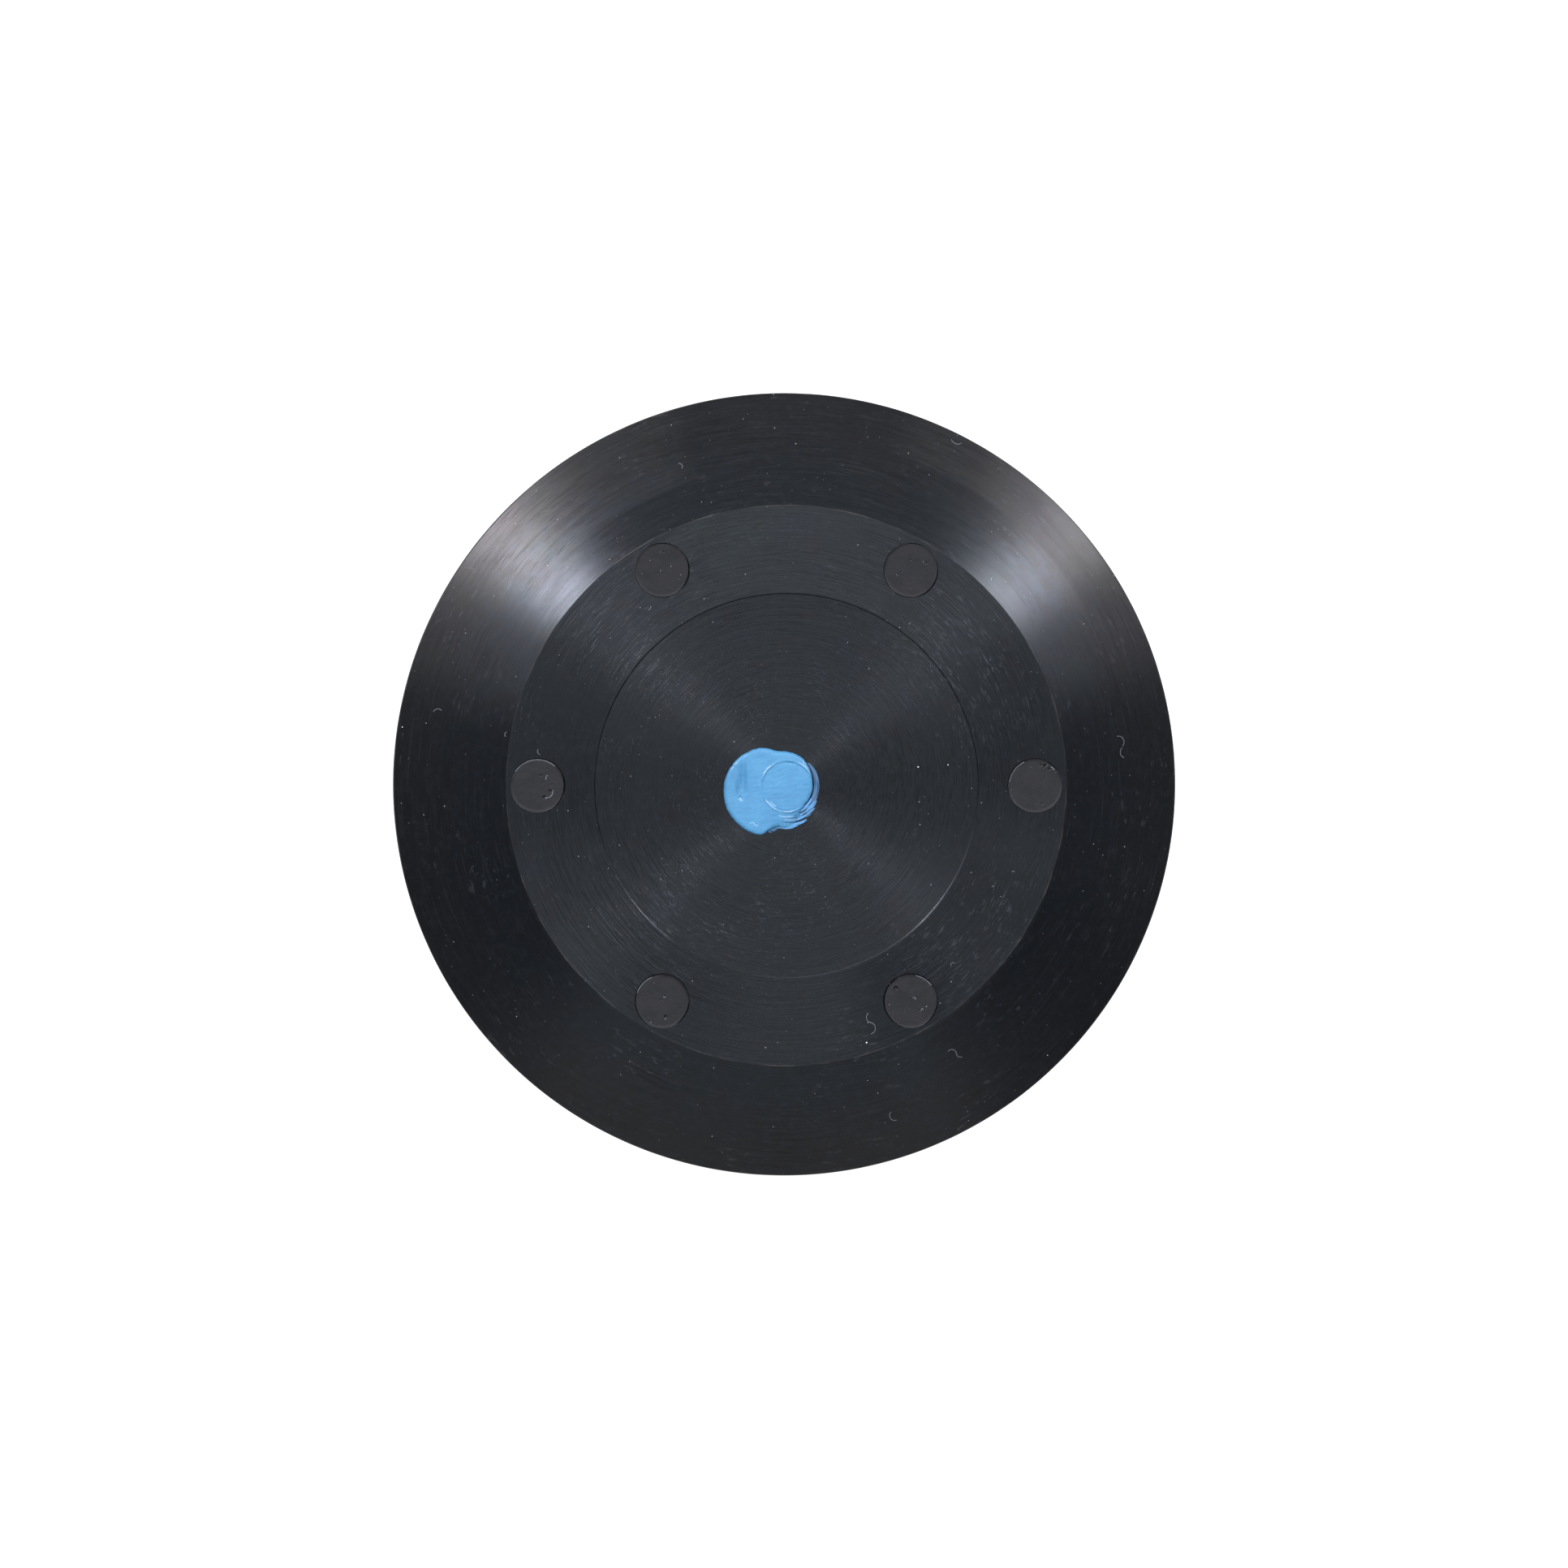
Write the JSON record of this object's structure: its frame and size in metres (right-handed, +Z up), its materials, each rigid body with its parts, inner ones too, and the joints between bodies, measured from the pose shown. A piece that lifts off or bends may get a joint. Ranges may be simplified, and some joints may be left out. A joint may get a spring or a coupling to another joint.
{
  "type": "air stone",
  "caption": "Round black air stone: turned cap with a conical rim and potted screws, porous ring wall, weighted base, and a push-in airline inlet closed by a soft seal.",
  "frame": {"origin": "on the floor under the centre of the cap, in the plane of the foot ring's tread", "axes": "+Z up along the turned parts' axis, out of the inlet; +X through clamp screw 1; +Y towards the gap between clamp screws 2 and 3"},
  "size_m": [0.1, 0.1, 0.0342],
  "materials": {
    "cap_plastic": "fine concentric lathe marks, satin",
    "base_plastic": "fine concentric lathe marks, satin",
    "porous_stone": "open-pored sintered grains, matte",
    "gasket_rubber": "matte",
    "foot_rubber": "matte",
    "potting": "satin, cast with small bubbles",
    "seal_compound": "soft, slightly waxy, smeared by hand",
    "stainless": "bright, machined",
    "insert_brass": "machined"
  },
  "bodies": {
    "stone_body": {"top_cap": "cap_plastic", "base_plate": "base_plastic", "inlet_retainer": "base_plastic", "stone_ring": "porous_stone", "upper_gasket": "gasket_rubber", "lower_gasket": "gasket_rubber", "inlet_o_ring": "gasket_rubber", "foot_ring": "foot_rubber", "ballast_disc": "stainless", "ballast_screw": "stainless", "clamp_screw_1": "stainless", "screw_plug_1": "potting", "threaded_insert_1": "insert_brass", "clamp_screw_2": "stainless", "screw_plug_2": "potting", "threaded_insert_2": "insert_brass", "clamp_screw_3": "stainless", "screw_plug_3": "potting", "threaded_insert_3": "insert_brass", "clamp_screw_4": "stainless", "screw_plug_4": "potting", "threaded_insert_4": "insert_brass", "clamp_screw_5": "stainless", "screw_plug_5": "potting", "threaded_insert_5": "insert_brass", "clamp_screw_6": "stainless", "screw_plug_6": "potting", "threaded_insert_6": "insert_brass"},
    "seal": {"inlet_seal": "seal_compound"}
  },
  "joints": [
    {"name": "seal_lift", "type": "slide", "parent": "stone_body", "child": "seal", "axis": [0, 0, 1], "range_m": [0, 0.05]}
  ]
}
